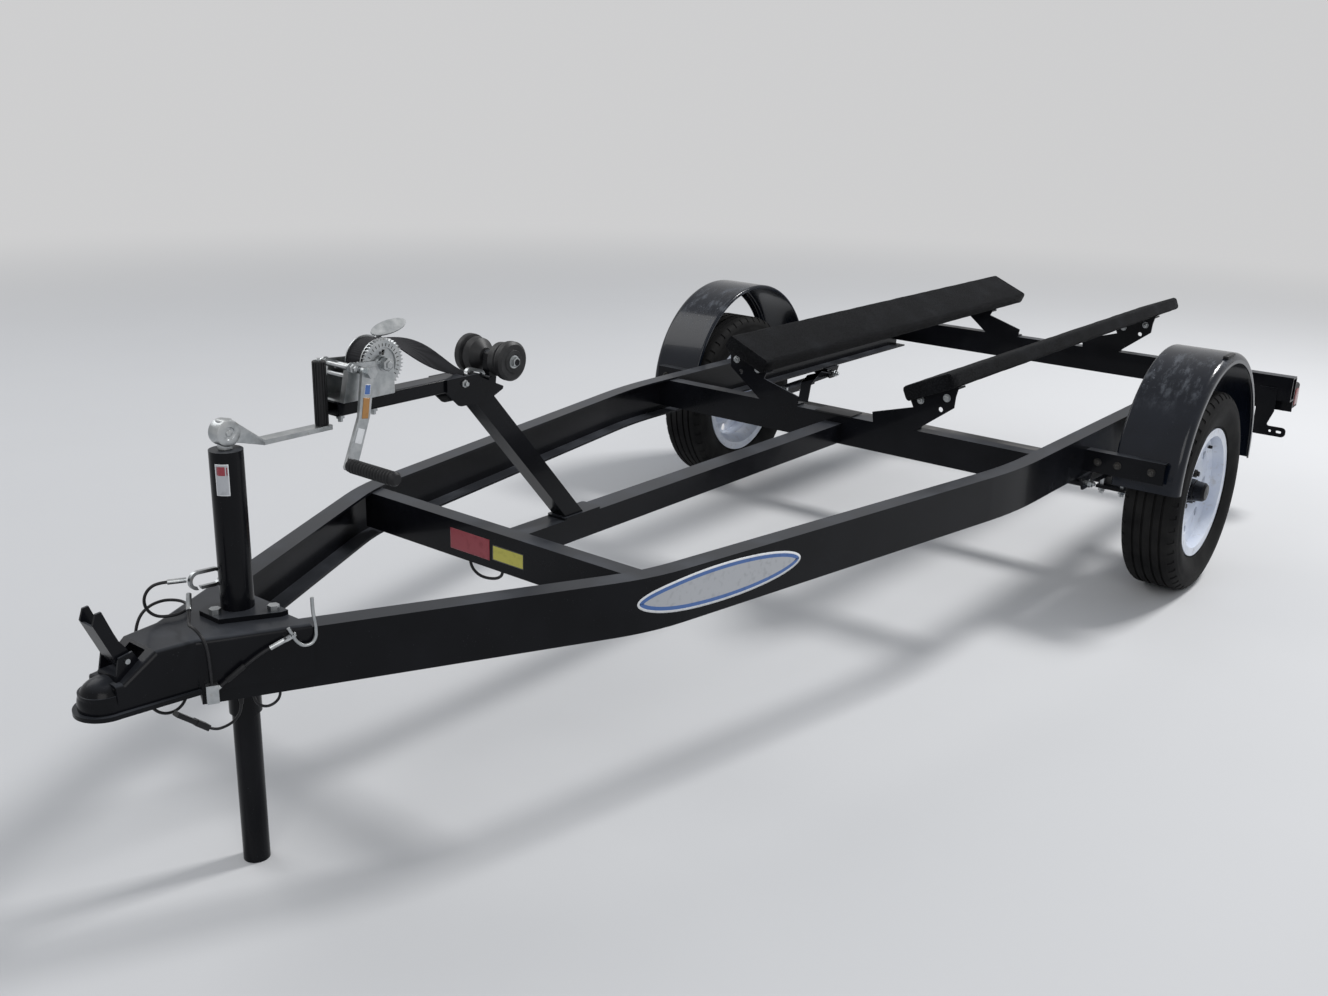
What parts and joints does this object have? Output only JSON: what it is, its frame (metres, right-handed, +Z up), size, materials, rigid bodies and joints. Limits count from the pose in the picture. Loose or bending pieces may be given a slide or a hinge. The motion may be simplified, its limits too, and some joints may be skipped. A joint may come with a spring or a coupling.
{
  "type": "boat trailer",
  "caption": "Single-axle boat trailer with a bent channel frame, carpeted bunks, hand winch, bow rollers, ball coupler and crank jack.",
  "frame": {"origin": "on the ground, on the centre line, half way between the coupler's nose and the bunks' rear ends", "axes": "+Z up, -Y towards the tongue (direction of travel), +X towards the trailer's left side"},
  "size_m": [1.636, 3.71, 0.8614],
  "materials": {
    "axle_grey": "satin paint",
    "black_paint": "gloss black paint",
    "black_rubber": "moulded rubber",
    "cable_jacket": "plastic sleeve",
    "carpet": "looped marine carpet",
    "red_lens": "moulded red lens",
    "tyre_rubber": "matt rubber",
    "webbing": "woven webbing",
    "wheel_white": "gloss white paint",
    "zinc": "bright zinc plate"
  },
  "bodies": {
    "frame": {"axle": "axle_grey", "bunk_bracket_front_left": "black_paint", "bunk_bracket_front_right": "black_paint", "bunk_bracket_rear_left": "black_paint", "bunk_bracket_rear_right": "black_paint", "bunk_left": "carpet", "bunk_right": "carpet", "cable_fittings": "zinc", "cable_hooks": "zinc", "centre_rail": "black_paint", "coupler_body": "black_paint", "coupler_pin": "zinc", "cross_front": "black_paint", "cross_middle": "black_paint", "cross_rear": "black_paint", "fender_left": "black_paint", "fender_right": "black_paint", "fender_stays": "black_paint", "jack_bolts": "zinc", "jack_tube": "black_paint", "leaf_springs": "black_paint", "light_plate_left": "black_paint", "light_plate_right": "black_paint", "plate_bracket": "black_paint", "rail_left": "black_paint", "rail_right": "black_paint", "roller_bracket": "black_paint", "safety_cable_far": "cable_jacket", "safety_cable_near": "cable_jacket", "safety_cable_over": "cable_jacket", "spring_bolts": "zinc", "spring_hangers": "black_paint", "spring_plates": "black_paint", "strap_hook": "zinc", "strap_run": "webbing", "tail_light_left": "red_lens", "tail_light_right": "red_lens", "u_bolts": "zinc", "winch_arm": "black_paint", "winch_frame": "zinc", "winch_pawl": "zinc", "winch_strut": "black_paint", "wiring_lead": "cable_jacket", "wiring_plug": "cable_jacket"},
    "wheel_left": {"tyre_left": "tyre_rubber", "rim_left": "wheel_white", "hub_left": "black_paint"},
    "wheel_right": {"tyre_right": "tyre_rubber", "rim_right": "wheel_white", "hub_right": "black_paint"},
    "jack_leg": {"jack_leg": "black_paint"},
    "jack_crank": {"jack_crank": "zinc", "jack_grip": "black_rubber"},
    "coupler_latch": {"coupler_latch": "black_paint"},
    "winch_drum": {"winch_drum": "zinc", "strap_coil": "webbing"},
    "winch_crank": {"winch_crank": "zinc", "winch_grip": "black_rubber"},
    "bow_roller_left": {"bow_roller_left": "black_rubber"},
    "bow_roller_right": {"bow_roller_right": "black_rubber"}
  },
  "joints": [
    {"name": "wheel_left_spin", "type": "hinge", "parent": "frame", "child": "wheel_left", "pos_m": [0.74, 0.795, 0.265], "axis": [1, 0, 0], "continuous": true},
    {"name": "wheel_right_spin", "type": "hinge", "parent": "frame", "child": "wheel_right", "pos_m": [-0.74, 0.795, 0.265], "axis": [1, 0, 0], "continuous": true},
    {"name": "jack_leg_slide", "type": "slide", "parent": "frame", "child": "jack_leg", "axis": [0, 0, 1], "range_m": [0, 0.2]},
    {"name": "jack_crank_turn", "type": "hinge", "parent": "frame", "child": "jack_crank", "pos_m": [0, -1.577, 0.713], "axis": [0, 0, 1], "continuous": true},
    {"name": "coupler_latch_hinge", "type": "hinge", "parent": "frame", "child": "coupler_latch", "pos_m": [0, -1.783, 0.439], "axis": [1, 0, 0], "range_deg": [-75, 0]},
    {"name": "winch_drum_spin", "type": "hinge", "parent": "frame", "child": "winch_drum", "pos_m": [0, -1.289, 0.8058], "axis": [1, 0, 0], "continuous": true},
    {"name": "winch_crank_spin", "type": "hinge", "parent": "frame", "child": "winch_crank", "pos_m": [0, -1.33996, 0.8038], "axis": [1, 0, 0], "continuous": true},
    {"name": "bow_roller_left_spin", "type": "hinge", "parent": "frame", "child": "bow_roller_left", "pos_m": [0.035, -1.017, 0.773], "axis": [1, 0, 0], "continuous": true},
    {"name": "bow_roller_right_spin", "type": "hinge", "parent": "frame", "child": "bow_roller_right", "pos_m": [-0.035, -1.017, 0.773], "axis": [1, 0, 0], "continuous": true}
  ],
  "couplings": [
    {"joint": "winch_crank_spin", "follows": "winch_drum_spin", "ratio": -4.1}
  ]
}
